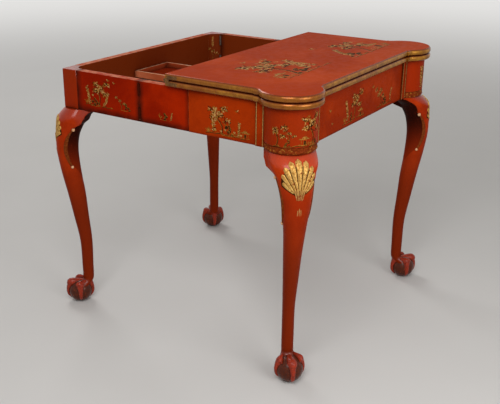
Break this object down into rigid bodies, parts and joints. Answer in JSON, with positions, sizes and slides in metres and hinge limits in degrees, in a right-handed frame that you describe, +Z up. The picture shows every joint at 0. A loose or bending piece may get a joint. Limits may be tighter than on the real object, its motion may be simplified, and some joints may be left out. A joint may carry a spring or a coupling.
{
  "type": "card table",
  "caption": "Red lacquered card table with a folding eared top on cabriole legs; its rear frame draws out on hinged concertina side panels to carry the opened top.",
  "frame": {"origin": "on the floor, in the middle of the table's footprint as it stands with the rear frame drawn out", "axes": "+Z up, +Y to the rear where the frame draws out, +X to the right as seen from the front"},
  "size_m": [0.78, 0.7964, 0.72],
  "materials": {
    "lacquer": "semi-gloss scarlet japanned lacquer over beech, with raised gilt ornament and worn edges",
    "panel_lacquer": "glossier, deeper red japanned lacquer with gilt ornament",
    "leaf_lacquer": "rubbed scarlet japanned lacquer with gilt ornament and bronze-gilt moulded edges",
    "bare_wood": "unpolished oak, planed",
    "tray_lacquer": "thin red lacquer, rubbed pale on the rims",
    "baize": "matt woollen baize",
    "brass": "old lacquered brass, dulled",
    "iron": "dark wrought iron, waxed"
  },
  "bodies": {
    "front_frame": {"front_left_leg": "lacquer", "front_right_leg": "lacquer", "front_rail": "lacquer", "left_side_rail": "lacquer", "right_side_rail": "lacquer", "corner_strips": "lacquer", "front_knee_brackets": "lacquer", "cross_rail": "bare_wood", "leaf_blocks": "bare_wood", "leaf_screws": "iron", "lower_leaf": "leaf_lacquer", "lower_baize": "baize", "leaf_hinge_lower_plates": "brass", "leaf_hinge_pins": "brass", "left_front_hinge_front_leaves": "iron", "left_front_hinge_pins": "iron", "right_front_hinge_front_leaves": "iron", "right_front_hinge_pins": "iron"},
    "left_front_panel": {"left_front_panel": "panel_lacquer", "left_front_hinge_rear_leaves": "iron", "left_middle_hinge_front_leaves": "iron", "left_middle_hinge_pins": "iron"},
    "left_rear_panel": {"left_rear_panel": "panel_lacquer", "left_middle_hinge_rear_leaves": "iron", "left_rear_hinge_front_leaves": "iron", "left_rear_hinge_pins": "iron"},
    "right_front_panel": {"right_front_panel": "panel_lacquer", "right_front_hinge_rear_leaves": "iron", "right_middle_hinge_front_leaves": "iron", "right_middle_hinge_pins": "iron"},
    "right_rear_panel": {"right_rear_panel": "panel_lacquer", "right_middle_hinge_rear_leaves": "iron", "right_rear_hinge_front_leaves": "iron", "right_rear_hinge_pins": "iron"},
    "rear_frame": {"rear_left_leg": "lacquer", "rear_right_leg": "lacquer", "rear_rail": "lacquer", "rear_knee_brackets": "lacquer", "rear_knee_blocks": "lacquer", "tray_bearers": "bare_wood", "tray_bottom": "tray_lacquer", "tray_left_wall": "tray_lacquer", "tray_right_wall": "tray_lacquer", "tray_front_wall": "tray_lacquer", "tray_rear_wall": "tray_lacquer", "left_rear_hinge_rear_leaves": "iron", "right_rear_hinge_rear_leaves": "iron"},
    "top_flap": {"upper_leaf": "leaf_lacquer", "upper_baize": "baize", "leaf_hinge_upper_plates": "brass"}
  },
  "joints": [
    {"name": "left_front_hinge", "type": "hinge", "parent": "front_frame", "child": "left_front_panel", "pos_m": [-0.32, -0.11275, 0.635], "axis": [0, 0, -1], "range_deg": [0, 87.9]},
    {"name": "left_middle_hinge", "type": "hinge", "parent": "left_front_panel", "child": "left_rear_panel", "pos_m": [-0.342, 0.10025, 0.635], "axis": [0, 0, 1], "range_deg": [0, 175.8]},
    {"name": "left_rear_hinge", "type": "hinge", "parent": "left_rear_panel", "child": "rear_frame", "pos_m": [-0.32, 0.31325, 0.635], "axis": [0, 0, -1], "range_deg": [0, 87.9]},
    {"name": "right_front_hinge", "type": "hinge", "parent": "front_frame", "child": "right_front_panel", "pos_m": [0.32, -0.11275, 0.635], "axis": [0, 0, 1], "range_deg": [0, 87.9]},
    {"name": "right_middle_hinge", "type": "hinge", "parent": "right_front_panel", "child": "right_rear_panel", "pos_m": [0.342, 0.10025, 0.635], "axis": [0, 0, -1], "range_deg": [0, 175.8]},
    {"name": "top_hinge", "type": "hinge", "parent": "front_frame", "child": "top_flap", "pos_m": [0, 0.00725, 0.704], "axis": [-1, 0, 0], "range_deg": [0, 180]}
  ],
  "couplings": [
    {"joint": "left_front_hinge", "follows": "right_front_hinge", "ratio": 1},
    {"joint": "left_middle_hinge", "follows": "right_front_hinge", "ratio": 2},
    {"joint": "left_rear_hinge", "follows": "right_front_hinge", "ratio": 1},
    {"joint": "right_middle_hinge", "follows": "right_front_hinge", "ratio": 2}
  ]
}
